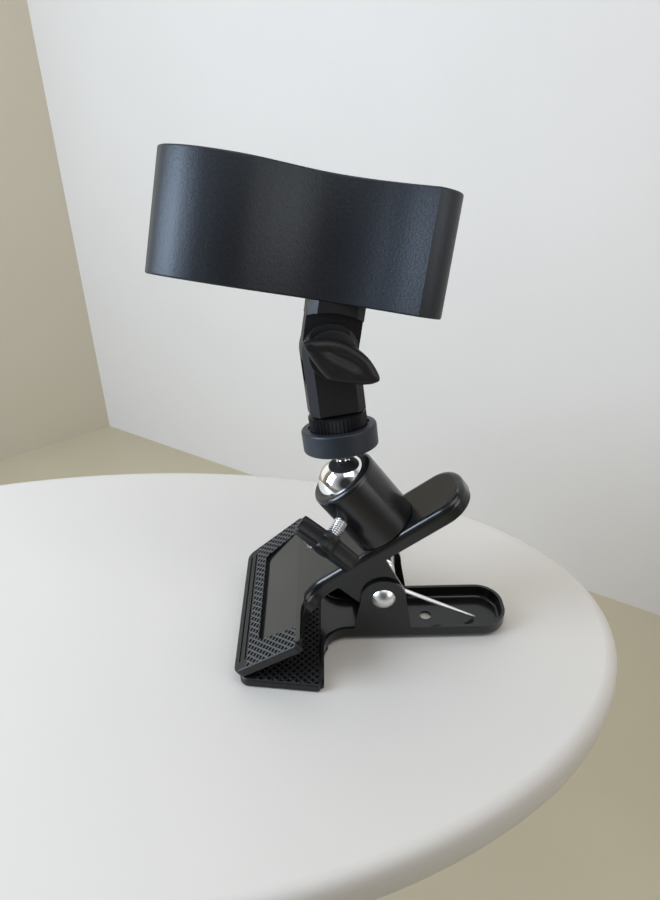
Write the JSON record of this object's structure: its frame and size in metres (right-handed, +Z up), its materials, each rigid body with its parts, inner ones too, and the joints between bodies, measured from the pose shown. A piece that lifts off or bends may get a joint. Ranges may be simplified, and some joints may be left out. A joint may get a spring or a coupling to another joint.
{
  "type": "airbrush holder stand",
  "caption": "Spring clamp with rubber jaws carrying a ball head, a hinged neck with a wing screw and an open-topped two-well holder.",
  "frame": {"origin": "on the table under the clamp's pivot pin, midway between the two jaws' side edges", "axes": "+Z up, +X from the jaws towards the clamp's handles, +Y away from the wing screw's side"},
  "size_m": [0.148, 0.0993, 0.2093],
  "materials": {
    "clamp_black": "gloss",
    "jaw_rubber": "matte",
    "bright_steel": "satin",
    "black_steel": "satin",
    "head_black": "satin",
    "chrome": "polished",
    "anodised": "satin",
    "neck_plastic": "matte",
    "holder_plastic": "matte",
    "brass": "satin",
    "liner_rubber": "matte"
  },
  "bodies": {
    "lower_clamp": {"lower_plate": "clamp_black", "lower_pad": "jaw_rubber", "pivot_rivet": "bright_steel", "pivot_sleeve": "bright_steel", "torsion_spring": "bright_steel"},
    "upper_clamp": {"upper_plate": "clamp_black", "upper_pad": "jaw_rubber", "head_screw": "black_steel", "head_washer": "black_steel", "base_plug": "head_black", "ball_housing": "head_black"},
    "lock_carrier": {"lock_tip": "brass"},
    "lock_knob": {"lock_stud": "bright_steel", "lock_grip": "neck_plastic"},
    "ball_cup": {"ball_seat": "neck_plastic"},
    "ball_link": {"ball_stem": "chrome", "platform": "anodised", "top_stud": "bright_steel"},
    "ring": {"lock_ring": "head_black"},
    "neck": {"neck_body": "neck_plastic", "neck_insert": "brass", "knuckle_bolt": "black_steel"},
    "wing_carrier": {"thrust_washer": "black_steel"},
    "wing": {"wing_grip": "neck_plastic", "wing_nut": "brass"},
    "holder": {"holder_block": "neck_plastic", "holder_shell": "holder_plastic", "holder_screws": "black_steel", "well_liner": "liner_rubber"}
  },
  "joints": [
    {"name": "clamp_open", "type": "hinge", "parent": "lower_clamp", "child": "upper_clamp", "pos_m": [0, 0, 0.0247], "axis": [0, 1, 0], "range_deg": [0, 50], "stiffness_Nm_per_rad": 0.35, "springref_deg": -45.84, "deforming": ["torsion_spring"]},
    {"name": "lock_travel", "type": "slide", "parent": "upper_clamp", "child": "lock_carrier", "axis": [-0.5378, -0.7479, -0.3892], "range_m": [0, 0.0013]},
    {"name": "lock_turn", "type": "hinge", "parent": "lock_carrier", "child": "lock_knob", "pos_m": [-0.01042, 0, 0.07048], "axis": [-0.5378, -0.7479, -0.3892], "range_deg": [0, 300]},
    {"name": "ball_pan", "type": "hinge", "parent": "upper_clamp", "child": "ball_cup", "pos_m": [-0.01582, 0, 0.07794], "axis": [-0.5863, 0, 0.8101], "continuous": true},
    {"name": "ball_tilt", "type": "hinge", "parent": "ball_cup", "child": "ball_link", "pos_m": [-0.01582, 0, 0.07794], "axis": [-0.3207, 0.9183, -0.2321], "range_deg": [-62, 5]},
    {"name": "ring_turn", "type": "hinge", "parent": "ball_link", "child": "ring", "pos_m": [-0.01582, 0, 0.07794], "axis": [-0.108, 0.208, 0.9721], "range_deg": [-25, 25]},
    {"name": "neck_spin", "type": "hinge", "parent": "ball_link", "child": "neck", "pos_m": [-0.01582, 0, 0.07794], "axis": [-0.108, 0.208, 0.9721], "continuous": true},
    {"name": "wing_travel", "type": "slide", "parent": "neck", "child": "wing_carrier", "axis": [0.1358, -0.9656, 0.2217], "range_m": [-0.0003, 0.0003]},
    {"name": "wing_turn", "type": "hinge", "parent": "wing_carrier", "child": "wing", "pos_m": [-0.02192, 0.01175, 0.13286], "axis": [0.1358, -0.9656, 0.2217], "range_deg": [-90, 70]},
    {"name": "holder_tilt", "type": "hinge", "parent": "neck", "child": "holder", "pos_m": [-0.02192, 0.01175, 0.13286], "axis": [0.1358, -0.9656, 0.2217], "range_deg": [-33, 64]}
  ],
  "couplings": [
    {"joint": "lock_travel", "follows": "lock_turn", "m_per_rad": 0.00015915},
    {"joint": "wing_travel", "follows": "wing_turn", "m_per_rad": 0.00012732}
  ]
}
